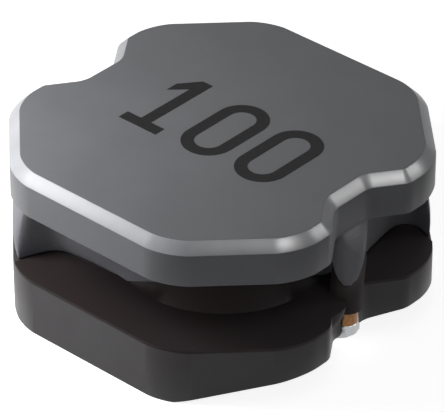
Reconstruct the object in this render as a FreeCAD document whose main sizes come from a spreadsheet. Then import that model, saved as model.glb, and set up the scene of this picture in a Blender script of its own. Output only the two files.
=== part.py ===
# Shielded drum-core inductor for surface mounting, 8 x 8 x 3.8 mm.
# Frame: origin on the soldering plane under the middle of the part, +Z up.
# X runs through the two notches where the leads come down.
import FreeCAD, Part
import math
import os

import Sketcher

# Driving dimensions in millimetres: alias, value, meaning.
SIZES = [
    ("flange_side", 8.0, "square flange, flat to flat"),
    ("corner_cut", 1.9, "leg of the 45 degree cut at each corner"),
    ("corner_round", 1.5, "rounding where a corner cut meets a side"),
    ("notch_mouth", 2.4, "notch width at the rim"),
    ("notch_floor", 1.0, "notch width at its floor"),
    ("notch_depth", 0.5, "notch depth from the rim"),
    ("notch_round", 0.4, "rounding of the notch corners"),
    ("lower_flange", 1.25, "lower flange thickness"),
    ("window_height", 1.6, "clear height between the flanges"),
    ("upper_flange", 0.95, "upper flange thickness"),
    ("rim_bevel", 0.22, "bevel round the top face"),
    ("post_diameter", 3.2, "winding post"),
    ("land_start", 2.15, "middle to where the underside starts to rise"),
    ("land_rise", 0.52, "rise of the underside at the rim"),
    ("wire_diameter", 0.5, "enamelled copper wire"),
    ("bar_flats", 16, "flats round the wire and its coat, within 0.01 mm of a circle"),
    ("turn_gap", 0.02, "air between turns, round the post and in the resin"),
    ("flange_gap", 0.02, "air under the first turn"),
    ("inner_turns", 2.0, "turns on the post"),
    ("outer_turns", 1.0, "whole turns of the second layer"),
    ("layer_bend", 1.0, "bend radius where the wire steps to the second layer"),
    ("lead_gap", 0.04, "air round a lead in its seat"),
    ("seat_bevel", 0.05, "bevel at the top of that seat"),
    ("lead_inset", 0.09, "notch floor to the axis of a lead"),
    ("lead_bend", 0.35, "bend radius where a lead turns down"),
    ("lead_angle", 55.0, "plan angle between the X axis and the finish lead, degrees"),
    ("lead_sweep", 3.0, "bend radius where the finish lead bows out"),
    ("tin_height", 0.61, "height where the copper ends and the tin starts"),
    ("resin_wall", 0.05, "resin over the outer turns"),
    ("wing_start", 0.3, "middle to where a wing leaves the barrel"),
    ("wing_setback", 1.14, "rim to the wall of a wing"),
    ("wing_turn", 2.0, "square corner to the end of that wall"),
    ("wing_rim", 1.6, "square corner to where a wing meets the rim"),
    ("wing_round", 0.3, "rounding between a wall and its wing"),
    ("lead_wall_setback", 1.11, "rim to the wall where the tongue leaves it"),
    ("lead_wall_start", 1.26, "X axis to that place"),
    ("lead_wall_end", 1.42, "rim to the far end of that wall"),
    ("lead_wall_turn", 1.12, "square corner to the far end of that wall"),
    ("lead_wall_rim", 1.62, "square corner to where its wing meets the rim"),
    ("tongue_setback", 0.28, "rim to the sharp tip of the resin tongue"),
    ("tongue_drop", 0.05, "sharp tip of the tongue past the X axis"),
    ("tongue_start", 0.42, "X axis to where the tongue leaves the barrel"),
    ("tongue_round", 0.25, "rounding of the tip of the tongue"),
    ("bulge_reach", 4.4, "middle to the bulge of the wings at the lower flange"),
    ("bulge_rise", 3.84, "height at which the bulge would close over the middle"),
    ("skin_height", 0.06, "black epoxy on the lower flange"),
    ("mound_offset", 0.6, "X and Y from the middle to the axis of a mound"),
    ("mound_base", 2.27, "radius of a mound at the lower flange"),
    ("mound_top", 1.65, "radius of a mound at its top"),
    ("mound_height", 0.95, "height of a mound"),
    ("coat_diameter", 0.68, "epoxy coat round a lead"),
    ("coat_low", 0.96, "lower end of the coat"),
    ("coat_run", 0.45, "length of the coat past the bend"),
    ("terminal_inner", 2.3, "middle to the inner edge of a terminal"),
    ("terminal_outer", 3.0, "middle to the outer edge of a terminal"),
    ("terminal_length", 5.0, "length of a terminal across the part"),
    ("terminal_round", 0.15, "rounding of the terminal corners"),
    ("joint_width", 0.44, "width of the solder joint"),
    ("joint_reach", 0.2, "axis of the lead to the outer face of the joint"),
    ("joint_low", 0.34, "height of that face's lower edge"),
    ("joint_high", 0.48, "height of that face's upper edge"),
]

doc = FreeCAD.newDocument("shielded_inductor")
sheet = doc.addObject("Spreadsheet::Sheet", "sizes")
for row, (alias, value, meaning) in enumerate(SIZES, start=1):
    sheet.set(f"A{row}", alias)
    sheet.set(f"B{row}", str(value))
    sheet.set(f"C{row}", meaning)
    sheet.setAlias(f"B{row}", alias)
doc.recompute()


def size(alias):
    """The number that the sheet holds under an alias."""
    return float(getattr(sheet, alias))


def negative(text):
    return f"-({text})"


# Expressions that several pieces share.
HALF = "sizes.flange_side / 2"
CUT = f"({HALF} - sizes.corner_cut)"
NOTCH = f"({HALF} - sizes.notch_depth)"
LEAD = f"({NOTCH} - sizes.lead_inset)"
WIRE = "sizes.wire_diameter / 2"
WINDOW_TOP = "sizes.lower_flange + sizes.window_height"
BORE = "(sizes.post_diameter / 2 + 2 * sizes.wire_diameter + 3 * sizes.turn_gap)"
BARREL = f"({BORE} + sizes.resin_wall)"
GRADE = f"sizes.land_rise / ({HALF} - sizes.land_start)"
# A corner is rounded no further than the flat beside its notch allows.
FLAT = f"({CUT} - sizes.notch_mouth / 2 - sizes.notch_round / 2)"
CORNER_ROUND = f"min(sizes.corner_round; {FLAT} / tan(22.5))"

# Flange outline, counter-clockwise from the right end of the -Y side.
RIGHT_HALF = [
    (HALF, negative(CUT)),
    (HALF, "-sizes.notch_mouth / 2"),
    (NOTCH, "-sizes.notch_floor / 2"),
    (NOTCH, "sizes.notch_floor / 2"),
    (HALF, "sizes.notch_mouth / 2"),
    (HALF, CUT),
    (CUT, HALF),
]
LEFT_HALF = [(negative(x), negative(y)) for x, y in RIGHT_HALF]
FLANGE = RIGHT_HALF + [(negative(CUT), HALF)] + LEFT_HALF + [(CUT, negative(HALF))]


def origin_plane(body, role):
    """One of a body's own origin planes."""
    return next(f for f in body.Origin.OriginFeatures if f.Role == role)


def body_sketch(body, name, role="XY_Plane", height="0"):
    """A sketch on one of a body's origin planes, lifted by an expression."""
    sketch = body.newObject("Sketcher::SketchObject", name)
    sketch.AttachmentSupport = (origin_plane(body, role), [""])
    sketch.MapMode = "FlatFace"
    sketch.setExpression(".AttachmentOffset.Base.z", height)
    return sketch


def hold_point(sketch, geometry, point, x, y):
    """Holds a point at x, y, each an expression or None for on the axis."""
    for axis, kind, text in ((-2, "DistanceX", x), (-1, "DistanceY", y)):
        if text is None:
            sketch.addConstraint(Sketcher.Constraint("PointOnObject", geometry, point, axis))
            continue
        rule = Sketcher.Constraint(kind, -1, 1, geometry, point, 1.0)
        sketch.setExpression(f"Constraints[{sketch.addConstraint(rule)}]", text)


def add_polygon(sketch, corners):
    """A closed polygon whose corners are pairs of expressions."""
    first = sketch.GeometryCount
    count = len(corners)
    turns = [2 * math.pi * index / count for index in range(count)]
    points = [FreeCAD.Vector(math.cos(turn), math.sin(turn), 0) for turn in turns]
    for index in range(count):
        sketch.addGeometry(Part.LineSegment(points[index], points[(index + 1) % count]), False)
    for index, (x, y) in enumerate(corners):
        following = first + (index + 1) % count
        sketch.addConstraint(Sketcher.Constraint("Coincident", first + index, 2, following, 1))
        hold_point(sketch, first + index, 1, x, y)
    return sketch


def add_circle(sketch, x, radius):
    """A circle centred on the sketch's X axis, or on its origin where x is None."""
    unit = Part.Circle(FreeCAD.Vector(0, 0, 0), FreeCAD.Vector(0, 0, 1), 1.0)
    circle = sketch.addGeometry(unit, False)
    hold_point(sketch, circle, 3, x, None)
    rule = sketch.addConstraint(Sketcher.Constraint("Radius", circle, 1.0))
    sketch.setExpression(f"Constraints[{rule}]", radius)
    return sketch


def pad(body, sketch, length, middle=False):
    """Pads a sketch upwards, or to both sides of its plane."""
    feature = body.newObject("PartDesign::Pad", f"{sketch.Name}_pad")
    feature.Profile = sketch
    feature.Midplane = middle
    feature.setExpression("Length", length)
    doc.recompute()
    return feature


def pocket(body, sketch, length, middle=False):
    """Cuts a sketch upwards, or to both sides of its plane."""
    before = body.Shape.Volume
    feature = body.newObject("PartDesign::Pocket", f"{sketch.Name}_pocket")
    feature.Profile = sketch
    feature.Midplane = middle
    feature.Reversed = not middle
    feature.setExpression("Length", length)
    doc.recompute()
    if body.Shape.Volume >= before:
        raise RuntimeError(f"{sketch.Name} cuts nothing")
    return feature


def upright_edges(shape, places):
    """Names of the straight upright edges that stand over some places in plan."""
    names = []
    for index, edge in enumerate(shape.Edges, start=1):
        run = edge.Vertexes[-1].Point - edge.Vertexes[0].Point
        upright = abs(run.z) > 1e-6 and math.hypot(run.x, run.y) < 1e-6
        middle = edge.CenterOfMass
        if upright and any(math.hypot(middle.x - x, middle.y - y) < 1e-3 for x, y in places):
            names.append(f"Edge{index}")
    return names


def round_edges(body, name, places, radius):
    """Rounds the upright edges of a body over some places in plan."""
    tip = body.Tip
    names = upright_edges(tip.Shape, places)
    if not names:
        raise RuntimeError(f"{name} finds no edge")
    feature = body.newObject("PartDesign::Fillet", name)
    feature.Base = (tip, names)
    feature.setExpression("Radius", radius)
    doc.recompute()
    return feature


def bevel_edges(body, name, edges, width):
    """Bevels some edges of a body at 45 degrees."""
    feature = body.newObject("PartDesign::Chamfer", name)
    feature.Base = (feature.BaseFeature or body.Tip, edges)
    feature.setExpression("Size", width)
    doc.recompute()
    return feature


def mirrored(x, y):
    """The four places in plan that share one distance from each axis."""
    return [(i * x, j * y) for i in (-1, 1) for j in (-1, 1)]


def flange_layer(body, name, low, length):
    """Pads the flange outline from a height and rounds its corners and notches."""
    pad(body, add_polygon(body_sketch(body, name, height=low), FLANGE), length)
    half = size("flange_side") / 2
    cut = half - size("corner_cut")
    notch = half - size("notch_depth")
    corners = mirrored(half, cut) + mirrored(cut, half)
    lips = mirrored(half, size("notch_mouth") / 2) + mirrored(notch, size("notch_floor") / 2)
    round_edges(body, f"{name}_corners", corners, CORNER_ROUND)
    return round_edges(body, f"{name}_lips", lips, "sizes.notch_round")


def make_drum_core():
    """Fired ferrite drum: two notched flanges on one post, pressed as one piece."""
    body = doc.addObject("PartDesign::Body", "drum_core")
    flange_layer(body, "lower", "0", "sizes.lower_flange")

    # The underside rises towards both notches, where the terminals lie.
    beyond = f"({HALF} + sizes.notch_depth)"
    peak = f"({beyond} - sizes.land_start) * {GRADE}"
    lands = body_sketch(body, "lands", "XZ_Plane")
    add_polygon(lands, [("sizes.land_start", None), (beyond, None), (beyond, peak)])
    add_polygon(lands, [("-sizes.land_start", None), (negative(beyond), None),
                        (negative(beyond), peak)])
    pocket(body, lands, "2 * sizes.flange_side", middle=True)

    # A round seat in each notch floor of the lower flange holds the lead.
    seats = body_sketch(body, "lead_seats")
    for reach in (LEAD, negative(LEAD)):
        add_circle(seats, reach, f"{WIRE} + sizes.lead_gap")
    seated = pocket(body, seats, "2 * sizes.lower_flange")
    radius = size("wire_diameter") / 2 + size("lead_gap")
    rims = [f"Edge{index}" for index, edge in enumerate(seated.Shape.Edges, start=1)
            if edge.Curve.TypeId == "Part::GeomCircle" and abs(edge.Curve.Radius - radius) < 1e-6
            and edge.BoundBox.ZMin > size("lower_flange") - 1e-6]
    bevel_edges(body, "seat_bevels", rims, "sizes.seat_bevel")

    post = body_sketch(body, "post", height="sizes.lower_flange")
    pad(body, add_circle(post, None, "sizes.post_diameter / 2"), "sizes.window_height")
    upper = flange_layer(body, "upper", WINDOW_TOP, "sizes.upper_flange")

    # The bevel runs round the whole top face, through the notches too.
    top = upper.Shape.BoundBox.ZMax
    rim = [f"Edge{index}" for index, edge in enumerate(upper.Shape.Edges, start=1)
           if edge.BoundBox.ZMin > top - 1e-6]
    bevel_edges(body, "top_bevel", rim, "sizes.rim_bevel")
    return body


def cut(name, base, tool):
    """One object less another."""
    feature = doc.addObject("Part::Cut", name)
    feature.Base = base
    feature.Tool = tool
    doc.recompute()
    return feature


def polar(radius, angle, height=0.0):
    return FreeCAD.Vector(radius * math.cos(angle), radius * math.sin(angle), height)


def clockwise(angle):
    """The direction of clockwise travel at an angle."""
    return FreeCAD.Vector(math.sin(angle), -math.cos(angle), 0)


def bend(before, corner, after, radius):
    """The arc that rounds a corner of a path, with its two ends."""
    back = (before - corner).normalize()
    ahead = (after - corner).normalize()
    half_angle = back.getAngle(ahead) / 2
    reach = radius / math.tan(half_angle)
    centre = corner + (back + ahead).normalize() * (radius / math.sin(half_angle))
    middle = centre + (corner - centre).normalize() * radius
    start = corner + back * reach
    end = corner + ahead * reach
    return start, Part.Arc(start, middle, end).toShape(), end


def half_turn(radius, angle, height, rise):
    """A clockwise half turn: a half circle, tilted about its two level ends."""
    middle = polar(math.hypot(radius, rise / 2), angle - math.pi / 2, height + rise / 2)
    end = polar(radius, angle - math.pi, height + rise)
    return Part.Arc(polar(radius, angle, height), middle, end).toShape()


def layer(radius, angle, height, rise, count):
    """Half turns one after another, each a step higher or lower than the last."""
    return [half_turn(radius, angle - math.pi * index, height + rise * index, rise)
            for index in range(count)]


def winding_paths():
    """The whole path of the wire, and the stretch of each lead that is coated."""
    wire = size("wire_diameter")
    pitch = wire + size("turn_gap")
    inner = size("post_diameter") / 2 + size("turn_gap") + wire / 2
    outer = inner + pitch
    reach = size("flange_side") / 2 - size("notch_depth") - size("lead_inset")
    low = size("lower_flange") + size("flange_gap") + wire / 2
    high = low + pitch * size("inner_turns")

    # Start lead: up the notch, over the flange, and straight to the post.
    start_angle = math.pi - math.acos(inner / reach)
    start = polar(inner, start_angle, low)
    corner = FreeCAD.Vector(-reach, 0, low)
    foot = FreeCAD.Vector(-reach, 0, size("tin_height"))
    bend_in, arc, bend_out = bend(foot, corner, start, size("lead_bend"))
    coat_foot = FreeCAD.Vector(-reach, 0, size("coat_low"))
    coat_end = bend_out + (start - bend_out).normalize() * size("coat_run")
    start_coat = [Part.makeLine(coat_foot, bend_in), arc, Part.makeLine(bend_out, coat_end)]
    path = [Part.makeLine(foot, bend_in), arc, Part.makeLine(bend_out, start)]

    # First layer up the post, then the step: straight off it and a bend onto the second.
    path += layer(inner, start_angle, low, pitch / 2, round(2 * size("inner_turns")))
    radius = size("layer_bend")
    run = math.sqrt((outer - inner) * (outer + inner - 2 * radius))
    turn = math.atan2(run, inner - radius)
    leave = polar(inner, start_angle, high)
    centre = polar(inner - radius, start_angle, high) + clockwise(start_angle) * run
    step_end = leave + clockwise(start_angle) * run
    step_middle = centre + polar(radius, start_angle - turn / 2)
    land_angle = start_angle - turn
    land = polar(outer, land_angle, high)
    path += [Part.makeLine(leave, step_end), Part.Arc(step_end, step_middle, land).toShape()]

    # Second layer down, and level on to where the finish lead bows out to its notch.
    path += layer(outer, land_angle, high, -pitch / 2, round(2 * size("outer_turns")))
    finish = high - pitch * size("outer_turns")
    lead_angle = math.radians(size("lead_angle"))
    bow = (reach ** 2 - outer ** 2) / (2 * (reach * math.sin(lead_angle) - outer))
    bow_centre = FreeCAD.Vector(reach - bow * math.sin(lead_angle), -bow * math.cos(lead_angle), 0)
    finish_angle = math.atan2(-bow_centre.y, -bow_centre.x)
    level = (land_angle - finish_angle) % (2 * math.pi)
    path.append(Part.Arc(polar(outer, finish_angle + level, finish),
                         polar(outer, finish_angle + level / 2, finish),
                         polar(outer, finish_angle, finish)).toShape())
    leave = polar(outer, finish_angle, finish)
    knee = leave + clockwise(finish_angle) * bow * math.tan(
        (lead_angle - math.pi / 2 + finish_angle) / 2)
    corner = FreeCAD.Vector(reach, 0, low)
    foot = FreeCAD.Vector(reach, 0, size("tin_height"))
    sweep_in, sweep, sweep_out = bend(leave, knee, corner, size("lead_sweep"))
    bend_in, arc, bend_out = bend(sweep_out, corner, foot, size("lead_bend"))
    coat_foot = FreeCAD.Vector(reach, 0, size("coat_low"))
    coat_end = bend_in + (sweep_out - bend_in).normalize() * size("coat_run")
    finish_coat = [Part.makeLine(coat_foot, bend_out), arc, Part.makeLine(bend_in, coat_end)]
    path += [Part.makeLine(leave, sweep_in), sweep, Part.makeLine(sweep_out, bend_in)]
    path += [arc, Part.makeLine(bend_out, foot)]
    return path, start_coat, finish_coat


def make_bar(name, edges, diameter, side, height):
    """A round bar, all but round by its many flats, swept along a path from an upright lead."""
    reach = size("flange_side") / 2 - size("notch_depth") - size("lead_inset")
    foot = FreeCAD.Vector(side * reach, 0, height)
    count = round(size("bar_flats"))
    radius = diameter / 2 / math.sqrt(math.cos(math.pi / count))
    ring = Part.makePolygon([foot + polar(radius, 2 * math.pi * index / count)
                             for index in range(count + 1)])
    path = Part.Wire(Part.__sortEdges__(edges))
    feature = doc.addObject("Part::Feature", name)
    feature.Shape = path.makePipeShell([ring], True, False)
    feature.Placement = FreeCAD.Placement()
    return feature


def make_resin_envelope(flange):
    """The cast resin as one block: barrel, two wings and the tongue over a lead."""
    body = doc.addObject("PartDesign::Body", "resin_block")
    base = "sizes.lower_flange"
    barrel = body_sketch(body, "barrel", height=base)
    pad(body, add_circle(barrel, None, BARREL), "sizes.window_height")

    # A wing has two walls off the barrel and two sides out to the rim.
    wall = f"({HALF} - sizes.wing_setback)"
    turn = f"({HALF} - sizes.wing_turn)"
    rim = f"({HALF} - sizes.wing_rim)"
    back = [(None, None), ("sizes.wing_start", BORE), (turn, wall), (rim, HALF), (HALF, HALF)]
    plain = back + [(y, x) for x, y in back[3:0:-1]]
    plain = [(x and negative(x), y and negative(y)) for x, y in plain]
    pad(body, add_polygon(body_sketch(body, "start_wing", height=base), plain),
        "sizes.window_height")

    # The other wing's near wall runs on into a tongue over the finish lead.
    root = f"sqrt({BORE} * {BORE} - sizes.tongue_start * sizes.tongue_start)"
    tip = (f"({HALF} - sizes.tongue_setback)", "-sizes.tongue_drop")
    knee = (f"({HALF} - sizes.lead_wall_setback)", "sizes.lead_wall_start")
    inner = (f"({HALF} - sizes.lead_wall_end)", f"({HALF} - sizes.lead_wall_turn)")
    front = [(root, "sizes.tongue_start"), tip, knee, inner,
             (HALF, f"({HALF} - sizes.lead_wall_rim)")]
    pad(body, add_polygon(body_sketch(body, "finish_wing", height=base),
                          [(None, None)] + front + back[:0:-1]), "sizes.window_height")

    half = size("flange_side") / 2
    turn_x = half - size("wing_turn")
    turn_y = half - size("wing_setback")
    inner_at = (half - size("lead_wall_end"), half - size("lead_wall_turn"))
    round_edges(body, "wing_corners",
                [(-turn_x, -turn_y), (-turn_y, -turn_x), (turn_x, turn_y), inner_at],
                "sizes.wing_round")
    round_edges(body, "tongue_tip", [(half - size("tongue_setback"), -size("tongue_drop"))],
                "sizes.tongue_round")

    bulge = doc.addObject("Part::Ellipsoid", "bulge")
    bulge.setExpression("Radius1", "sizes.bulge_rise")
    bulge.setExpression("Radius2", "sizes.bulge_reach")
    bulge.setExpression("Radius3", "sizes.bulge_reach")
    bulge.setExpression(".Placement.Base.z", base)
    envelope = doc.addObject("Part::MultiCommon", "resin_envelope")
    envelope.Shapes = [body, bulge, flange]
    doc.recompute()
    return envelope


def make_resin_shield(envelope, winding):
    """Ferrite-filled resin cast round the winding between the flanges."""
    bore = doc.addObject("Part::Cylinder", "bore")
    bore.setExpression("Radius", BORE)
    bore.setExpression("Height", "sizes.window_height")
    bore.setExpression(".Placement.Base.z", "sizes.lower_flange")
    return cut("resin_shield", cut("resin_bored", envelope, bore), winding)


def make_epoxy(label, side, coat, flange, others):
    """Black epoxy on the lower flange and over one lead, between the two wings."""
    body = doc.addObject("PartDesign::Body", f"{label}_half")
    far = "sizes.flange_side"
    triangle = [(far, far), (negative(far), negative(far))]
    triangle.append((far, negative(far)) if side > 0 else (negative(far), far))
    sketch = body_sketch(body, f"{label}_side", height="sizes.lower_flange")
    pad(body, add_polygon(sketch, triangle), "sizes.skin_height")
    skin = doc.addObject("Part::Common", f"{label}_skin")
    skin.Base = body
    skin.Tool = flange

    mound = doc.addObject("Part::Cone", f"{label}_mound")
    mound.setExpression("Radius1", "sizes.mound_base")
    mound.setExpression("Radius2", "sizes.mound_top")
    mound.setExpression("Height", "sizes.mound_height")
    mound.setExpression(".Placement.Base.x", f"{side} * sizes.mound_offset")
    mound.setExpression(".Placement.Base.y", f"{-side} * sizes.mound_offset")
    mound.setExpression(".Placement.Base.z", "sizes.lower_flange")

    whole = doc.addObject("Part::MultiFuse", f"{label}_whole")
    whole.Shapes = [skin, mound, coat]
    doc.recompute()
    for index, other in enumerate(others):
        name = label if other is others[-1] else f"{label}_less_{index}"
        whole = cut(name, whole, other)
    return whole


def make_terminal():
    """Tinned terminal under the sloped land, level with the soldering plane."""
    body = doc.addObject("PartDesign::Body", "finish_terminal")
    corners = [("sizes.terminal_inner", None), ("sizes.terminal_outer", None)]
    for edge in ("sizes.terminal_outer", "sizes.terminal_inner"):
        corners.append((edge, f"({edge} - sizes.land_start) * {GRADE}"))
    wedge = add_polygon(body_sketch(body, "terminal_side", "XZ_Plane"), corners)
    pad(body, wedge, "sizes.terminal_length", middle=True)
    ends = size("terminal_length") / 2
    places = mirrored(size("terminal_inner"), ends) + mirrored(size("terminal_outer"), ends)
    round_edges(body, "terminal_corners", places, "sizes.terminal_round")
    return body


def make_solder(core):
    """Tinned end of a lead with the solder that joins it to its terminal."""
    body = doc.addObject("PartDesign::Body", "solder_block")
    face = f"({LEAD} + sizes.joint_reach)"
    root = f"(sizes.terminal_outer - sizes.land_start) * {GRADE}"
    corners = [("sizes.terminal_outer", None), (face, "sizes.joint_low"),
               (face, "sizes.joint_high"), (LEAD, "sizes.tin_height"),
               ("sizes.terminal_outer", root)]
    wedge = add_polygon(body_sketch(body, "joint_side", "XZ_Plane"), corners)
    pad(body, wedge, "sizes.joint_width", middle=True)
    tip = body_sketch(body, "tinned_end", height="sizes.joint_low")
    pad(body, add_circle(tip, LEAD, WIRE), "sizes.tin_height - sizes.joint_low")
    return cut("finish_solder", body, core)


def mirror_copy(name, source):
    """The same piece at the other end of the part."""
    feature = doc.addObject("Part::Mirroring", name)
    feature.Source = source
    feature.Normal = FreeCAD.Vector(1, 0, 0)
    doc.recompute()
    return feature


drum_core = make_drum_core()
flange_envelope = doc.addObject("PartDesign::Body", "flange_envelope")
flange_layer(flange_envelope, "outline", "0", WINDOW_TOP)

full_path, start_path, finish_path = winding_paths()
winding = make_bar("winding", full_path, size("wire_diameter"), -1, size("tin_height"))
start_coat = make_bar("start_coat", start_path, size("coat_diameter"), -1, size("coat_low"))
finish_coat = make_bar("finish_coat", finish_path, size("coat_diameter"), 1, size("coat_low"))

envelope = make_resin_envelope(flange_envelope)
resin_shield = make_resin_shield(envelope, winding)
others = [drum_core, envelope, winding]
finish_epoxy = make_epoxy("finish_epoxy", 1, finish_coat, flange_envelope, others)
start_epoxy = make_epoxy("start_epoxy", -1, start_coat, flange_envelope, others)
finish_terminal = make_terminal()
start_terminal = mirror_copy("start_terminal", finish_terminal)
finish_solder = make_solder(drum_core)
start_solder = mirror_copy("start_solder", finish_solder)
doc.recompute()

pieces = [drum_core, winding, resin_shield, finish_epoxy, start_epoxy,
          finish_terminal, start_terminal, finish_solder, start_solder]
for thing in doc.Objects:
    if "Invalid" in thing.State or "Error" in thing.State:
        raise RuntimeError(f"{thing.Name}: {thing.State}")
os.makedirs("parts", exist_ok=True)
for piece in pieces:
    piece.Label = piece.Name
    if piece.Shape.isNull() or not piece.Shape.isValid():
        raise RuntimeError(f"{piece.Label} has no valid shape")
    piece.Shape.exportStep(f"parts/{piece.Label}.step")
    box = piece.Shape.BoundBox
    print(piece.Label, len(piece.Shape.Solids), "solid", round(piece.Shape.Volume, 3), "mm3",
          [round(v, 3) for v in (box.XMin, box.XMax, box.YMin, box.YMax, box.ZMin, box.ZMax)])
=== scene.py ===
# %% [markdown]
# A shielded inductor for surface mounting, dressed for a studio picture.
# The real part is a fired ferrite drum core with a copper winding, sealed in grey resin and black
# epoxy and soldered to two tinned terminals. The solid model gives the frame: where each piece is,
# and how large. The cells below add what the eye needs on top of that, piece by piece.

# %% Load the frame
import math

import bmesh
import bpy
from mathutils import Matrix, Vector


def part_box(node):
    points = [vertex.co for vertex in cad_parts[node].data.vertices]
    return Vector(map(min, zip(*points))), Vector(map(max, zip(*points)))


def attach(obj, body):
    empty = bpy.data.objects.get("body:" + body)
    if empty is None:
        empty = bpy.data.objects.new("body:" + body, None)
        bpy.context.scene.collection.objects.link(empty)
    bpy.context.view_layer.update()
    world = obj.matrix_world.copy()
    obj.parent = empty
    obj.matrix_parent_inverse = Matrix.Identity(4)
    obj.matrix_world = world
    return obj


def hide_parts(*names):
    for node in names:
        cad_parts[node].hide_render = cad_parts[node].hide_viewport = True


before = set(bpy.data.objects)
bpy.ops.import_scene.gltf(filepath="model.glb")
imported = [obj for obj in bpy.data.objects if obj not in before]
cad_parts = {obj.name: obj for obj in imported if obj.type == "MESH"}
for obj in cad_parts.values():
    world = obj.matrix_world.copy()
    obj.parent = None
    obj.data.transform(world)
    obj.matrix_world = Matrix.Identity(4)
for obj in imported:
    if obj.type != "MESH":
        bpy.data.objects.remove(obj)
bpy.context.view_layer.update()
MM = 0.001
print("nodes:", sorted(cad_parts))

# %% [markdown]
# The drum core is one pressed and fired ferrite piece: a round post between two square flanges.
# The frame gives its outer size. The corners, notches and lands have the same sizes as in the solid
# model, so they are named here once, in millimetres, and each shape is worked out from them.

# %% Sizes of the ferrite core
core_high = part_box("drum_core")[1]
HALF = core_high.x
HEIGHT = core_high.z
CORNER_CUT = 1.9 * MM
CORNER_ROUND = 1.5 * MM
NOTCH_MOUTH = 2.4 * MM
NOTCH_FLOOR = 1.0 * MM
NOTCH_DEPTH = 0.5 * MM
NOTCH_ROUND = 0.4 * MM
LOWER_FLANGE = 1.25 * MM
UPPER_FLANGE = 0.95 * MM
TOP_BEVEL = 0.22 * MM
POST_RADIUS = 1.6 * MM
LAND_START = 2.15 * MM
LAND_RISE = 0.52 * MM
LEAD_X = HALF - NOTCH_DEPTH - 0.09 * MM
SEAT_RADIUS = 0.29 * MM
SEAT_BEVEL = 0.05 * MM
EDGE_WEAR = 0.03 * MM
SAME_POINT = 1e-7
print("half side", round(HALF / MM, 3), "height", round(HEIGHT / MM, 3), "mm")

# %% [markdown]
# A flange is a square with cut, rounded corners and two notches. It could be a cube whose upright
# edges are bevelled one by one. Here it starts as one flat face with sharp corners, and bevelling
# the corner points rounds the plan, which is quicker and leaves cleaner edges.
# The bevel tool draws a squashed quarter circle on an open corner, so its reach is set to make the
# curve pass through the middle of the true arc.

# %% The flange outline
CORNER_TURN = math.radians(45)
NOTCH_TURN = math.atan2(NOTCH_DEPTH, (NOTCH_MOUTH - NOTCH_FLOOR) / 2)
CORNER_STEPS = 14
NOTCH_STEPS = 8


def bevel_reach(radius, turn):
    """How far from a corner a point bevel starts, so that it meets the middle of the arc."""
    middle = radius * (1 / math.cos(turn / 2) - 1)
    return middle / ((2 - math.sqrt(2)) * math.sin(turn / 2))


def round_corners(bm, corners, reach, segments):
    bmesh.ops.bevel(bm, geom=corners, offset=reach, offset_type="OFFSET", segments=segments,
                    profile=0.5, affect="VERTICES", clamp_overlap=False, material=-1)


def flange_face(bm, height):
    """The flange's plan at a height, with rounded corners and two notches."""
    cut = HALF - CORNER_CUT
    wall = HALF - NOTCH_DEPTH
    right = [(HALF, -cut), (HALF, -NOTCH_MOUTH / 2), (wall, -NOTCH_FLOOR / 2),
             (wall, NOTCH_FLOOR / 2), (HALF, NOTCH_MOUTH / 2), (HALF, cut), (cut, HALF)]
    left = [(-x, -y) for x, y in right]
    plan = right + [(-cut, HALF)] + left + [(cut, -HALF)]
    points = [bm.verts.new((x, y, height)) for x, y in plan]
    bm.faces.new(points)
    in_notch = [p for p in points if abs(p.co.y) < cut / 2 + NOTCH_MOUTH / 4]
    at_corner = [p for p in points if p not in in_notch]
    round_corners(bm, at_corner, bevel_reach(CORNER_ROUND, CORNER_TURN), CORNER_STEPS)
    notch = [v for v in bm.verts if v in in_notch]
    round_corners(bm, notch, bevel_reach(NOTCH_ROUND, NOTCH_TURN), NOTCH_STEPS)
    return bm.faces[:]


print("bevel reach at a corner in mm:", round(bevel_reach(CORNER_ROUND, CORNER_TURN) / MM, 3))


# %% [markdown]
# Pressed ferrite has no knife edges, because the fired pieces rub against each other in handling.
# A Bevel modifier could soften them, but it treats all edges alike. These helpers raise a face into
# a block and bevel only the edges that are picked by their angle and place.

# %% From a face to a block
def raise_block(bm, faces, height):
    """Extrudes flat faces upwards into a closed block."""
    raised = bmesh.ops.extrude_face_region(bm, geom=faces)["geom"]
    tops = [item for item in raised if isinstance(item, bmesh.types.BMVert)]
    bmesh.ops.translate(bm, verts=tops, vec=(0, 0, height))
    bmesh.ops.recalc_face_normals(bm, faces=bm.faces)


def sharp_edges(bm, least=50, where=lambda edge: True):
    """Edges whose two faces turn by more than an angle in degrees."""
    return [edge for edge in bm.edges if edge.is_manifold and where(edge)
            and edge.calc_face_angle() > math.radians(least)]


def lowest(edge):
    """The height of an edge's lower end."""
    return min(v.co.z for v in edge.verts)


def soften(bm, edges, width, segments=2):
    bmesh.ops.bevel(bm, geom=edges, offset=width, offset_type="OFFSET", segments=segments,
                    profile=0.5, affect="EDGES", clamp_overlap=False, material=-1)


def as_object(bm, name):
    """Turns a bmesh into a linked object that stands at the origin."""
    mesh = bpy.data.meshes.new(name)
    bm.to_mesh(mesh)
    bm.free()
    piece = bpy.data.objects.new(name, mesh)
    bpy.context.scene.collection.objects.link(piece)
    return piece


# %% [markdown]
# Grinding and drilling take material away, and Blender has two ways to do the same. A plane cut is
# the simple one, for flat lands. A Boolean with a tool piece is the other, for round holes, and the
# same modifier also joins two blocks. It is applied at once, so that the mesh is final.

# %% Tools that cut and join
def cut_by_plane(bm, point, normal):
    """Removes what lies beyond a plane and closes the cut."""
    everything = bm.verts[:] + bm.edges[:] + bm.faces[:]
    cut = bmesh.ops.bisect_plane(bm, geom=everything, plane_co=point, plane_no=normal,
                                 clear_outer=True)["geom_cut"]
    edges = [item for item in cut if isinstance(item, bmesh.types.BMEdge)]
    bmesh.ops.contextual_create(bm, geom=edges)


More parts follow.
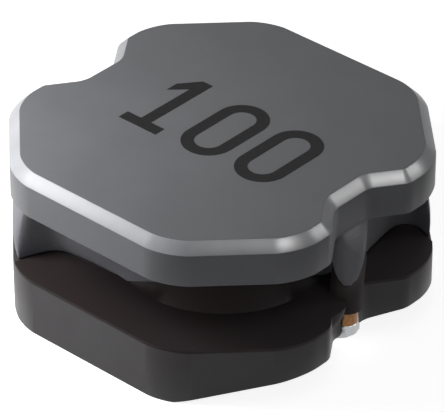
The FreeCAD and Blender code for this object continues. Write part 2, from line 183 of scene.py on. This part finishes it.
def applied(piece, modifier):
    """Bakes one modifier into a piece's mesh."""
    with bpy.context.temp_override(object=piece, active_object=piece,
                                   selected_editable_objects=[piece]):
        bpy.ops.object.modifier_apply(modifier=modifier.name)


def combine(piece, tool, operation):
    """Cuts or joins a piece with a tool, which is then deleted."""
    modifier = piece.modifiers.new("combine", "BOOLEAN")
    modifier.operation = operation
    modifier.solver = "EXACT"
    modifier.object = tool
    applied(piece, modifier)
    bpy.data.objects.remove(tool)


def turned(name, profile, x=0.0, segments=48):
    """A closed solid turned about an upright axis from (radius, height) points."""
    bm = bmesh.new()
    points = [bm.verts.new((x + radius, 0, height)) for radius, height in profile]
    edges = [bm.edges.new(pair) for pair in zip(points, points[1:])]
    bmesh.ops.spin(bm, geom=points + edges, cent=(x, 0, 0), axis=(0, 0, 1),
                   angle=2 * math.pi, steps=segments, use_merge=True)
    bmesh.ops.remove_doubles(bm, verts=bm.verts, dist=SAME_POINT)
    bmesh.ops.recalc_face_normals(bm, faces=bm.faces)
    return as_object(bm, name)


# %% [markdown]
# The lower flange's underside rises towards both notches, where the terminals lie. Such a land
# could be modelled by moving points up by hand. Cutting the block with a sloped plane and closing
# the hole keeps it flat, whatever the sizes are. The round seat of a lead is cut with a turned tool
# that widens at its top, so the seat has the real one's small bevel.

# %% The lower flange
lower = bmesh.new()
raise_block(lower, flange_face(lower, 0.0), LOWER_FLANGE)
land_length = HALF - LAND_START
for side in (1, -1):
    cut_by_plane(lower, (side * LAND_START, 0, 0), (side * LAND_RISE, 0, -land_length))
bmesh.ops.recalc_face_normals(lower, faces=lower.faces)
soften(lower, sharp_edges(lower), EDGE_WEAR)
core = as_object(lower, "ferrite_core")
seat_top = LOWER_FLANGE + SEAT_BEVEL
seat_profile = [(0, -HALF), (SEAT_RADIUS, -HALF), (SEAT_RADIUS, LOWER_FLANGE - SEAT_BEVEL),
                (SEAT_RADIUS + 2 * SEAT_BEVEL, seat_top), (0, seat_top)]
for side in (1, -1):
    combine(core, turned("seat_tool", seat_profile, side * LEAD_X), "DIFFERENCE")
print("lower flange faces:", len(core.data.polygons))

# %% [markdown]
# The upper flange has the bright bevel that runs round the whole top face. A wide bevel with many
# segments would round it off, but the press leaves it flat. So it is cut first, with one segment,
# and only then are the edges softened: the two lines along it stay crisp but not sharp.
# The post is a turned cylinder that reaches a little way into both flanges, so that the pieces join
# without a seam. Most of it is hidden by the resin.

# %% The upper flange and the post
POST_STEPS = 64
OVERLAP = 0.05 * MM
upper = bmesh.new()
raise_block(upper, flange_face(upper, HEIGHT - UPPER_FLANGE), UPPER_FLANGE)
top_rim = sharp_edges(upper, where=lambda edge: lowest(edge) > HEIGHT - EDGE_WEAR)
soften(upper, top_rim, TOP_BEVEL, segments=1)
soften(upper, sharp_edges(upper, least=60), EDGE_WEAR)
bevel_foot = HEIGHT - TOP_BEVEL - EDGE_WEAR / 2
top_lines = sharp_edges(upper, least=40, where=lambda edge: lowest(edge) > bevel_foot)
soften(upper, top_lines, EDGE_WEAR / 2)
combine(core, as_object(upper, "upper_flange"), "UNION")
post_low = LOWER_FLANGE - OVERLAP
post_high = HEIGHT - UPPER_FLANGE + OVERLAP
post_profile = [(0, post_low), (POST_RADIUS, post_low), (POST_RADIUS, post_high), (0, post_high)]
combine(core, turned("post", post_profile, segments=POST_STEPS), "UNION")
print("whole core faces:", len(core.data.polygons))


# %% [markdown]
# A piece is measured before it is trusted: its volume should be near the solid's, and an edge that
# isn't shared by two faces is a hole. Smooth shading alone would bend the light over the large flat
# faces. The Weighted Normal modifier lets a flat face win over the narrow ones beside it.

# %% Measuring and shading
def measure(piece):
    """Volume in cubic millimetres, and how many edges aren't shared by two faces."""
    bm = bmesh.new()
    bm.from_mesh(piece.data)
    bmesh.ops.remove_doubles(bm, verts=bm.verts, dist=SAME_POINT)
    loose = sum(not edge.is_manifold for edge in bm.edges)
    volume = bm.calc_volume() / MM ** 3
    bm.free()
    return round(volume, 3), loose


def finish_shading(piece, angle=32):
    """Smooth shading that keeps flat faces flat and real corners crisp."""
    piece.data.polygons.foreach_set("use_smooth", [True] * len(piece.data.polygons))
    piece.data.set_sharp_from_angle(angle=math.radians(angle))
    weighted = piece.modifiers.new("flat_faces_first", "WEIGHTED_NORMAL")
    weighted.mode = "FACE_AREA"
    weighted.weight = 50
    weighted.keep_sharp = True


finish_shading(core)
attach(core, "root")
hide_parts("drum_core")
print("ferrite core (mm3, open edges):", measure(core))
print("its solid (mm3, open edges):", measure(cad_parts["drum_core"]))

# %% [markdown]
# The winding, the epoxy, the terminals and the first form of resin and solder keep the solid's own
# mesh, because its shape is already right. It comes as loose triangles, though, which can only be
# shaded flat. So a copy is merged, until neighbours share their points, and stands for the solid.

# %% Pieces that keep the solid's mesh
FLAT_ENOUGH = math.radians(0.5)


def merged_copy(node, name):
    bm = bmesh.new()
    bm.from_mesh(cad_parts[node].data)
    bmesh.ops.remove_doubles(bm, verts=bm.verts, dist=SAME_POINT)
    bmesh.ops.dissolve_limit(bm, angle_limit=FLAT_ENOUGH, verts=bm.verts, edges=bm.edges)
    piece = as_object(bm, name)
    finish_shading(piece)
    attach(piece, "root")
    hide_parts(node)
    print(name, "(mm3, open edges):", measure(piece))
    return piece


ENDS = ("finish", "start")
resin = merged_copy("resin_shield", "cast_resin")
wire = merged_copy("winding", "enamelled_wire")
epoxies = [merged_copy(f"{end}_epoxy", f"{end}_epoxy_pour") for end in ENDS]
terminals = [merged_copy(f"{end}_terminal", f"{end}_terminal_strip") for end in ENDS]
joints = [merged_copy(f"{end}_solder", f"{end}_solder_joint") for end in ENDS]

# %% [markdown]
# While the resin was liquid, some of it ran down over the finish lead and hung there. The run could
# be sculpted by hand. The hull of two upright columns, one round the lead and one inside the resin's
# tongue, has the same form and can be measured. A slanted plane cuts it off, so that it reaches
# furthest down on the outside of the lead. A second one gives it a shoulder, which starts under the
# rim of the upper flange.

# %% The run of resin over the finish lead
RUN_RADIUS = 0.39 * MM
RUN_LOW = 1.84 * MM
RUN_SLOPE = 0.6
RUN_SIDE = math.radians(-48)
RUN_SHOULDER = 0.5 * MM
RUN_LENGTH = 1.4 * MM
RUN_ROOT = (3.02 * MM, 0.85 * MM)
RUN_ROOT_RADIUS = 0.18 * MM
RUN_STEPS = 48


def hanging_run():
    """The run of resin round the finish lead and back into the tongue, under the upper flange."""
    bm = bmesh.new()
    top = HEIGHT - UPPER_FLANGE
    for x, y, radius in ((LEAD_X, 0, RUN_RADIUS), (*RUN_ROOT, RUN_ROOT_RADIUS)):
        for height in (top, top - RUN_LENGTH):
            bmesh.ops.create_circle(bm, segments=RUN_STEPS, radius=radius,
                                    matrix=Matrix.Translation((x, y, height)))
    hull = bmesh.ops.convex_hull(bm, input=bm.verts[:])
    spare = {item for item in hull["geom_interior"] + hull["geom_unused"]
             if isinstance(item, bmesh.types.BMVert)}
    bmesh.ops.delete(bm, geom=list(spare), context="VERTS")
    bmesh.ops.delete(bm, geom=[e for e in bm.edges if e.is_wire], context="EDGES")
    slope = Vector((-RUN_SLOPE * math.cos(RUN_SIDE), -RUN_SLOPE * math.sin(RUN_SIDE), -1))
    cut_by_plane(bm, (LEAD_X, 0, RUN_LOW), slope)
    under_rim = HALF - NOTCH_DEPTH
    reach = LEAD_X + RUN_RADIUS - under_rim
    cut_by_plane(bm, (under_rim, 0, top), (RUN_SHOULDER, 0, reach))
    bmesh.ops.recalc_face_normals(bm, faces=bm.faces)
    return as_object(bm, "hanging_run")


resin.modifiers.clear()
combine(resin, hanging_run(), "UNION")
print("resin with its run (mm3, open edges):", measure(resin))

# %% [markdown]
# Resin and solder were liquid, so they have no sharp inner corners. Bevelling each inner edge would
# fail where many meet. A voxel remesh gives a piece an even skin instead, and smoothing that skin
# rounds all its corners at once, as surface tension does. The resin is smoothed sideways only,
# because the two flanges keep its top and bottom flat.

# %% Soft forms of resin and solder
RESIN_VOXEL = 0.04 * MM
RESIN_PASSES = 200
SOLDER_VOXEL = 0.02 * MM
SOLDER_PASSES = 12
SOFT_ANGLE = 60


def flowed(piece, voxel, passes, sideways_only=False):
    """Gives a piece the soft form of something that was liquid."""
    piece.modifiers.clear()
    remesh = piece.modifiers.new("even_skin", "REMESH")
    remesh.mode = "VOXEL"
    remesh.voxel_size = voxel
    applied(piece, remesh)
    bm = bmesh.new()
    bm.from_mesh(piece.data)
    for _ in range(passes):
        bmesh.ops.smooth_vert(bm, verts=bm.verts, factor=0.5, use_axis_x=True, use_axis_y=True,
                              use_axis_z=not sideways_only)
    bm.to_mesh(piece.data)
    bm.free()
    finish_shading(piece, SOFT_ANGLE)
    print(piece.name, "after flowing (mm3, open edges):", measure(piece),
          "faces:", len(piece.data.polygons))


flowed(resin, RESIN_VOXEL, RESIN_PASSES, sideways_only=True)
for joint in joints:
    flowed(joint, SOLDER_VOXEL, SOLDER_PASSES)

# %% [markdown]
# The poured epoxy hangs over the flange's rim beside the finish lead. Such a lip could be a
# metaball, but a ball is easier to place: this is the lower half of a stretched one, whose flat top
# lies just under the level of the poured layer. Its middle and its reach are in millimetres.

# %% The lip of epoxy in the notch
LIP_MIDDLE = Vector((3.56, -0.68, 1.305)) * MM
LIP_REACH = (0.24, 0.38, 0.45)


def make_lip():
    bm = bmesh.new()
    stretch = Matrix.Diagonal((*LIP_REACH, 1))
    bmesh.ops.create_uvsphere(bm, u_segments=40, v_segments=20, radius=MM,
                              matrix=Matrix.Translation(LIP_MIDDLE) @ stretch)
    cut_by_plane(bm, LIP_MIDDLE, (0, 0, 1))
    bmesh.ops.recalc_face_normals(bm, faces=bm.faces)
    piece = as_object(bm, "finish_epoxy_lip")
    finish_shading(piece)
    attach(piece, "root")
    return piece


lip = make_lip()
print("lip of epoxy (mm3, open edges):", measure(lip))

# %% [markdown]
# Such parts carry a short number on the top face, so a plain generic one is printed here. A text
# object would need a font. These digits are drawn from a few sizes, as with a stencil: a one is a
# flat polygon with a slab foot, and a nought is walked out like a running track, up one side, round
# the top, down the other side and round the bottom.

# %% Digits
DIGIT_HEIGHT = 2.15 * MM
DIGIT_WIDTH = 1.15 * MM
STROKE = 0.27 * MM
BEND_STEPS = 24


def draw_nought(bm):
    reach = (DIGIT_WIDTH - STROKE) / 2
    straight = DIGIT_HEIGHT / 2 - DIGIT_WIDTH / 2
    ends = [bm.verts.new((-reach + side * STROKE / 2, -straight, 0)) for side in (-1, 1)]
    edge = bm.edges.new(ends)
    for side in (1, -1):
        strip = bmesh.ops.extrude_edge_only(bm, edges=[edge])["geom"]
        moved = [item for item in strip if isinstance(item, bmesh.types.BMVert)]
        bmesh.ops.translate(bm, verts=moved, vec=(0, side * 2 * straight, 0))
        last = [item for item in strip if isinstance(item, bmesh.types.BMEdge)
                and all(v in moved for v in item.verts)]
        bend = bmesh.ops.spin(bm, geom=last + moved, cent=(0, side * straight, 0),
                              axis=(0, 0, -1), angle=math.pi, steps=BEND_STEPS)["geom_last"]
        edge = next(item for item in bend if isinstance(item, bmesh.types.BMEdge))
    bmesh.ops.remove_doubles(bm, verts=bm.verts, dist=STROKE / 1000)


def draw_one(bm):
    top = DIGIT_HEIGHT / 2
    stem = STROKE / 2
    foot = DIGIT_WIDTH * 0.44
    flag = DIGIT_WIDTH * 0.42
    plan = [(-foot, -top), (foot, -top), (foot, -top + STROKE), (stem, -top + STROKE),
            (stem, top), (-stem, top), (-flag, top - 1.6 * STROKE),
            (-flag, top - 2.7 * STROKE), (-stem, top - 1.5 * STROKE), (-stem, -top + STROKE),
            (-foot, -top + STROKE)]
    bm.faces.new([bm.verts.new((x, y, 0)) for x, y in plan])


# %% [markdown]
# The digits are set side by side on the top face and raised into one film of ink, a few microns
# thick. A colour pattern in the ferrite could show them too, but a real film has an edge.

# %% Printed number
CODE = "100"
DRAWN = {"0": draw_nought, "1": draw_one}
MARK_MIDDLE = Vector((0.16 * MM, -0.05 * MM, 0))
DIGIT_PITCH = 1.45 * MM
INK_THICKNESS = 0.006 * MM


def print_number():
    ink = bmesh.new()
    for index, digit in enumerate(CODE):
        glyph = bmesh.new()
        DRAWN[digit](glyph)
        shift = (index - (len(CODE) - 1) / 2) * DIGIT_PITCH
        bmesh.ops.translate(glyph, verts=glyph.verts,
                            vec=MARK_MIDDLE + Vector((shift, 0, HEIGHT)))
        mesh = bpy.data.meshes.new("glyph")
        glyph.to_mesh(mesh)
        glyph.free()
        ink.from_mesh(mesh)
        bpy.data.meshes.remove(mesh)
    raise_block(ink, ink.faces[:], INK_THICKNESS)
    piece = as_object(ink, "printed_number")
    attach(piece, "root")
    return piece


number = print_number()
print("printed number (mm3, open edges):", measure(number))


# %% [markdown]
# Materials are built from nodes. The first function turns a colour as a designer writes it into the
# linear values that the renderer works in. The second adds any kind of node, with its settings and
# links, so a material below reads like a list of its nodes.

# %% Colours and nodes
def linear(code):
    """A hex colour such as 6a6b6d as linear red, green, blue and alpha."""
    values = [int(code[i:i + 2], 16) / 255 for i in (0, 2, 4)]
    return [v / 12.92 if v <= 0.04045 else ((v + 0.055) / 1.055) ** 2.4 for v in values] + [1.0]


def add(tree, kind, inputs=None, **settings):
    """Adds a node. An input is given a value, a socket, or a node for that node's first output."""
    node = tree.nodes.new(kind)
    for name, value in settings.items():
        setattr(node, name, value)
    for name, value in (inputs or {}).items():
        if isinstance(value, bpy.types.Node):
            value = value.outputs[0]
        if isinstance(value, bpy.types.NodeSocket):
            tree.links.new(value, node.inputs[name])
        else:
            node.inputs[name].default_value = value
    return node


def new_material(name):
    """An empty material, its node tree, and a point's place on the part in metres."""
    material = bpy.data.materials.new(name)
    material.use_nodes = True
    tree = material.node_tree
    tree.nodes.clear()
    place = add(tree, "ShaderNodeTexCoord").outputs["Object"]
    return material, tree, place


def dress(pieces, material):
    for piece in pieces:
        piece.data.materials.clear()
        piece.data.materials.append(material)
    print(material.name, "on", [piece.name for piece in pieces])


# %% [markdown]
# Each surface gets its life from noise whose scale is one over the real size of its patches. Noise
# mostly stays between 0.3 and 0.7, so that span is stretched to the range that a colour or a
# roughness needs. A tint is the common case: the pattern moves one colour towards another.

# %% Tints
SPAN = {"From Min": 0.3, "From Max": 0.7}
FIRST_COLOUR = 6
SECOND_COLOUR = 7
MIXED_COLOUR = 2


def tinted(tree, pattern, first, second, most=1.0):
    """A colour that a pattern moves from the first colour towards the second."""
    amount = add(tree, "ShaderNodeMapRange", {
        "Value": pattern, **SPAN, "To Min": 0.0, "To Max": most})
    return add(tree, "ShaderNodeMix", {0: amount, FIRST_COLOUR: first, SECOND_COLOUR: second},
               data_type="RGBA").outputs[MIXED_COLOUR]


# %% [markdown]
# Fired nickel-zinc ferrite is a dark grey ceramic, pressed from powder. The powder's granules give a
# satin surface with a faint speckle, and the handling of the fired parts leaves soft cloudy marks.
# A granule is about 0.05 mm, which is just large enough to show here.
# The sides of the lower flange are darker: this is painted shade, as if less light reached them below
# the upper flange.
# The painted shade ends just above the flange, so the height of a point on the core tells whether it
# is darkened.

# %% Ferrite
GRANULE = 0.05 * MM
HANDLING_MARK = 1.2 * MM
# How far above the lower flange the painted shade fades out.
PAINTED_SHADE_FADE = 0.1 * MM


def make_ferrite():
    material, tree, place = new_material("fired_ferrite")
    grain = add(tree, "ShaderNodeTexNoise", {"Vector": place, "Scale": 1 / GRANULE, "Detail": 2.0})
    clouds = add(tree, "ShaderNodeTexNoise", {
        "Vector": place, "Scale": 1 / HANDLING_MARK, "Detail": 2.0})
    body = tinted(tree, clouds, linear("66676a"), linear("6c6d70"))
    speckled = tinted(tree, grain, body, linear("7c7d80"), most=0.15)
    # The darker colour is painted shade for the lower flange's sides.
    painted_shade_colour = tinted(tree, clouds, linear("3b383a"), linear("434143"))
    height = add(tree, "ShaderNodeSeparateXYZ", {0: place}).outputs["Z"]
    # The mask says where the painted shade lies: up to the top of the lower flange.
    painted_shade_mask = add(tree, "ShaderNodeMapRange", {
        "Value": height, "From Min": LOWER_FLANGE, "From Max": LOWER_FLANGE + PAINTED_SHADE_FADE,
        "To Min": 1.0, "To Max": 0.0})
    colour = add(tree, "ShaderNodeMix", {0: painted_shade_mask, FIRST_COLOUR: speckled, SECOND_COLOUR: painted_shade_colour},
                 data_type="RGBA").outputs[MIXED_COLOUR]
    satin = add(tree, "ShaderNodeMapRange", {
        "Value": clouds, **SPAN, "To Min": 0.40, "To Max": 0.46})
    relief = add(tree, "ShaderNodeBump", {
        "Height": grain, "Distance": 0.003 * MM, "Strength": 0.3})
    shader = add(tree, "ShaderNodeBsdfPrincipled", {
        "Base Color": colour, "Roughness": satin, "Specular IOR Level": 0.2, "Normal": relief})
    add(tree, "ShaderNodeOutputMaterial", {"Surface": shader})
    return material


dress([core], make_ferrite())

# %% [markdown]
# The bevel round the top is the same ferrite, with a smoother surface and a lighter colour that is a
# painted highlight, so it shows as a bright line round the part.
# It could be a mask in the ferrite's own nodes, but a second material on its faces is simpler and
# exact.

# %% Bevel with painted highlight
BEVEL_PATCH = 0.6 * MM


def make_bevel():
    material, tree, place = new_material("ferrite_bevel_painted_highlight")
    clouds = add(tree, "ShaderNodeTexNoise", {
        "Vector": place, "Scale": 1 / BEVEL_PATCH, "Detail": 2.0})
    smooth = add(tree, "ShaderNodeMapRange", {
        "Value": clouds, **SPAN, "To Min": 0.32, "To Max": 0.36})
    shader = add(tree, "ShaderNodeBsdfPrincipled", {
        # The light base colour is a painted highlight on the bevel.
        "Base Color": tinted(tree, clouds, linear("98999d"), linear("a2a3a7")),
        "Roughness": smooth, "Specular IOR Level": 0.3})
    add(tree, "ShaderNodeOutputMaterial", {"Surface": shader})
    return material


core.data.materials.append(make_bevel())
bevels = [face for face in core.data.polygons
          if face.center.z > HEIGHT - TOP_BEVEL and 0.3 < face.normal.z < 0.95]
for face in bevels:
    face.material_index = 1
print("bevel faces:", len(bevels))

# %% [markdown]
# The resin between the flanges is epoxy filled with ferrite powder. Its grey is close to the core's
# own, but it is duller and a little uneven, because it is cast and not pressed. It lies in the shade
# between the flanges, so it looks darker than it is.

# %% Cast resin
FILLER_GRAIN = 0.07 * MM
FLOW_MARK = 0.8 * MM


def make_resin():
    material, tree, place = new_material("ferrite_filled_resin")
    filler = add(tree, "ShaderNodeTexNoise", {
        "Vector": place, "Scale": 1 / FILLER_GRAIN, "Detail": 3.0})
    flow = add(tree, "ShaderNodeTexNoise", {
        "Vector": place, "Scale": 1 / FLOW_MARK, "Detail": 2.0})
    body = tinted(tree, flow, linear("747378"), linear("7e7d82"))
    relief = add(tree, "ShaderNodeBump", {
        "Height": filler, "Distance": 0.008 * MM, "Strength": 0.5})
    shader = add(tree, "ShaderNodeBsdfPrincipled", {
        "Base Color": tinted(tree, filler, body, linear("8a898e"), most=0.3),
        "Roughness": 0.58, "Specular IOR Level": 0.2, "Normal": relief})
    add(tree, "ShaderNodeOutputMaterial", {"Surface": shader})
    return material


dress([resin], make_resin())

# %% [markdown]
# The black epoxy is poured over the lower flange after winding. It levels itself before it cures,
# so it is smoother than the resin. To the eye it is an even, warm black that is nearly matt, with
# slow ripples. Its fine dust is under 0.04 mm in truth, and is drawn that coarse so that it shows.

# %% Black epoxy
RIPPLE = 0.5 * MM
DUST = 0.04 * MM


def make_epoxy():
    material, tree, place = new_material("poured_black_epoxy")
    ripple = add(tree, "ShaderNodeTexNoise", {"Vector": place, "Scale": 1 / RIPPLE, "Detail": 2.0})
    dust = add(tree, "ShaderNodeTexNoise", {"Vector": place, "Scale": 1 / DUST, "Detail": 2.0})
    relief = add(tree, "ShaderNodeBump", {
        "Height": ripple, "Distance": 0.02 * MM, "Strength": 0.25})
    shader = add(tree, "ShaderNodeBsdfPrincipled", {
        "Base Color": tinted(tree, dust, linear("2b2425"), linear("312a2b"), most=0.3),
        "Roughness": 0.6, "Specular IOR Level": 0.12, "Normal": relief})
    add(tree, "ShaderNodeOutputMaterial", {"Surface": shader})
    return material


dress(epoxies + [lip], make_epoxy())

# %% [markdown]
# The number is a dark ink, printed on the bare ferrite. It dries matt, and it is a little uneven
# where it sinks between the granules, so its patches are about two granules across.

# %% Ink
INK_PATCH = 0.09 * MM


def make_ink():
    material, tree, place = new_material("dry_black_ink")
    patch = add(tree, "ShaderNodeTexNoise", {
        "Vector": place, "Scale": 1 / INK_PATCH, "Detail": 3.0})
    shader = add(tree, "ShaderNodeBsdfPrincipled", {
        "Base Color": tinted(tree, patch, linear("151516"), linear("211f20")),
        "Roughness": 0.7, "Specular IOR Level": 0.12})
    add(tree, "ShaderNodeOutputMaterial", {"Surface": shader})
    return material


dress([number], make_ink())

# %% [markdown]
# Magnet wire is copper under a thin clear amber enamel. The enamel is a coat: a glossy layer over
# the metal, which also warms its colour. Drawing the wire leaves faint marks in the copper, about a
# tenth of its width across.

# %% Enamelled copper
DRAWING_MARK = 0.06 * MM


def make_copper():
    material, tree, place = new_material("enamelled_copper")
    drawn = add(tree, "ShaderNodeTexNoise", {
        "Vector": place, "Scale": 1 / DRAWING_MARK, "Detail": 2.0})
    shader = add(tree, "ShaderNodeBsdfPrincipled", {
        "Base Color": tinted(tree, drawn, linear("62401c"), linear("835628")), "Metallic": 1.0,
        "Roughness": 0.34, "Coat Weight": 0.6, "Coat Roughness": 0.12})
    add(tree, "ShaderNodeOutputMaterial", {"Surface": shader})
    return material


dress([wire], make_copper())

# %% [markdown]
# Lead-free solder and tin plating are bright but not mirror-like: the metal freezes with a fine
# frosted texture, which spreads the highlights. The real frost is finer than 0.05 mm, and is drawn
# that coarse so that it shows.

# %% Tin and solder
FROST = 0.05 * MM


def make_tin():
    material, tree, place = new_material("frosted_tin")
    frost = add(tree, "ShaderNodeTexNoise", {"Vector": place, "Scale": 1 / FROST, "Detail": 3.0})
    relief = add(tree, "ShaderNodeBump", {
        "Height": frost, "Distance": 0.006 * MM, "Strength": 0.4})
    shader = add(tree, "ShaderNodeBsdfPrincipled", {
        "Base Color": tinted(tree, frost, linear("a6a7a9"), linear("b8b9ba")), "Metallic": 1.0,
        "Roughness": 0.36, "Normal": relief})
    add(tree, "ShaderNodeOutputMaterial", {"Surface": shader})
    return material


dress(terminals + joints, make_tin())

# %% [markdown]
# The camera stands where the photograph was taken from. Its height, direction, distance and focal
# length were fitted to the outline of the part, and are given here as plain values. The centre is
# the point of the image, in pixels, that the camera's axis goes through.

# %% Camera
IMAGE_WIDTH = 444
IMAGE_HEIGHT = 412
SENSOR = 36.0
AZIMUTH = math.radians(42.01)
ELEVATION = math.radians(33.69)
ROLL = math.radians(0.06)
DISTANCE = 77.17 * MM
FOCAL_PIXELS = 3747.4
CENTRE_U = 221.2
CENTRE_V = 199.9
target = Vector((0, 0, 2.0 * MM))


def direction(azimuth, elevation):
    """The way from the part to a place round it. Azimuth 0 is in front, and 90 at the right."""
    return Vector((math.sin(azimuth) * math.cos(elevation),
                   -math.cos(azimuth) * math.cos(elevation), math.sin(elevation)))


back = direction(AZIMUTH, ELEVATION)
right = Vector((math.cos(AZIMUTH), math.sin(AZIMUTH), 0))
right, up = (Matrix.Rotation(-ROLL, 3, back) @ v for v in (right, back.cross(right)))
camera_data = bpy.data.cameras.new("camera")
camera_data.sensor_width = SENSOR
camera_data.lens = FOCAL_PIXELS * SENSOR / IMAGE_WIDTH
camera_data.shift_x = (IMAGE_WIDTH / 2 - CENTRE_U) / IMAGE_WIDTH
camera_data.shift_y = (CENTRE_V - IMAGE_HEIGHT / 2) / IMAGE_WIDTH
camera_data.clip_start = 1 * MM
camera_data.clip_end = 10.0
camera = bpy.data.objects.new("camera", camera_data)
turn = Matrix((right, up, back)).transposed().to_4x4()
camera.matrix_world = Matrix.Translation(target + back * DISTANCE) @ turn
bpy.context.scene.collection.objects.link(camera)
bpy.context.scene.camera = camera
print("camera at", [round(v / MM, 1) for v in camera.location], "mm, lens", round(camera_data.lens))

# %% [markdown]
# The floor is a plain pale sheet that keeps the part's shadow. More light would make it white, but
# would also wash out the part. So the sheet glows, but only for rays that show it: straight to the
# camera, or mirrored in metal. All other rays meet a plain grey sheet.

# %% Floor
FLOOR_REACH = 400 * MM


def seen_as_background(tree):
    """One for rays that show the background: straight to the camera, mirrored or through glass."""
    path = add(tree, "ShaderNodeLightPath").outputs
    mirrored = add(tree, "ShaderNodeMath", {0: path["Is Glossy Ray"], 1: path["Is Transmission Ray"]},
                   operation="MAXIMUM")
    return add(tree, "ShaderNodeMath", {0: path["Is Camera Ray"], 1: mirrored},
               operation="MAXIMUM")


def make_floor():
    bm = bmesh.new()
    bmesh.ops.create_grid(bm, x_segments=1, y_segments=1, size=FLOOR_REACH)
    floor = as_object(bm, "floor")
    material, tree, _ = new_material("white_sheet")
    plain = add(tree, "ShaderNodeBsdfDiffuse", {"Color": linear("9a9a9a")})
    bright = add(tree, "ShaderNodeBsdfDiffuse", {"Color": linear("e8e8e8")})
    glow = add(tree, "ShaderNodeEmission", {"Color": linear("ffffff"), "Strength": 0.85})
    shown = add(tree, "ShaderNodeAddShader", {0: bright, 1: glow})
    both = add(tree, "ShaderNodeMixShader", {0: seen_as_background(tree), 1: plain, 2: shown})
    add(tree, "ShaderNodeOutputMaterial", {"Surface": both})
    dress([floor], material)


make_floor()


# %% [markdown]
# The lamps are soft squares that stand close, because the part is small. The one at the left is
# nearest, and its light falls off across the part, which gives the long run from light to dark.
# A low one in front lifts the shade between the flanges.
# Two more give only sheen. They stand where the bevel in the notch mirrors them towards the camera,
# and they leave the matt colours alone.

# %% Lamps
def lamp(name, azimuth, elevation, distance, size, level, only_sheen=False):
    """A square soft lamp aimed at the part. Its level is the light that a face towards it gets,
    where 1 shows a colour as it is written. One that gives only sheen lights no matt colour."""
    data = bpy.data.lights.new(name, "AREA")
    data.size = size
    data.energy = level * math.pi ** 2 * distance ** 2
    stand = bpy.data.objects.new(name, data)
    stand.visible_camera = False
    stand.visible_diffuse = not only_sheen
    away = direction(math.radians(azimuth), math.radians(elevation))
    stand.location = target + away * distance
    stand.rotation_euler = away.to_track_quat("Z", "Y").to_euler()
    bpy.context.scene.collection.objects.link(stand)
    print(name, "at", [round(v / MM, 1) for v in stand.location], "mm, level", level)


lamp("key_left", azimuth=-42, elevation=33, distance=13 * MM, size=5 * MM, level=0.97)
lamp("front_low", azimuth=5, elevation=8, distance=60 * MM, size=30 * MM, level=0.1)
lamp("right_sheen", azimuth=138, elevation=34, distance=50 * MM, size=16 * MM, level=0.75,
     only_sheen=True)
lamp("high_sheen", azimuth=80, elevation=52, distance=50 * MM, size=14 * MM, level=1.3,
     only_sheen=True)

# %% [markdown]
# The world is the white room round the sheet. It lights the part only weakly from all sides, and
# shows as plain white behind it and in its metal. The Standard view keeps colours as written.

# %% World and view
world = bpy.data.worlds.new("studio")
world.use_nodes = True
bpy.context.scene.world = world
tree = world.node_tree
tree.nodes.clear()
ambient = add(tree, "ShaderNodeBackground", {"Color": linear("ffffff"), "Strength": 0.16})
white = add(tree, "ShaderNodeBackground", {"Color": linear("ffffff"), "Strength": 1.0})
sky = add(tree, "ShaderNodeMixShader", {0: seen_as_background(tree), 1: ambient, 2: white})
add(tree, "ShaderNodeOutputWorld", {"Surface": sky})
bpy.context.scene.view_settings.view_transform = "Standard"
print("view:", bpy.context.scene.view_settings.view_transform)
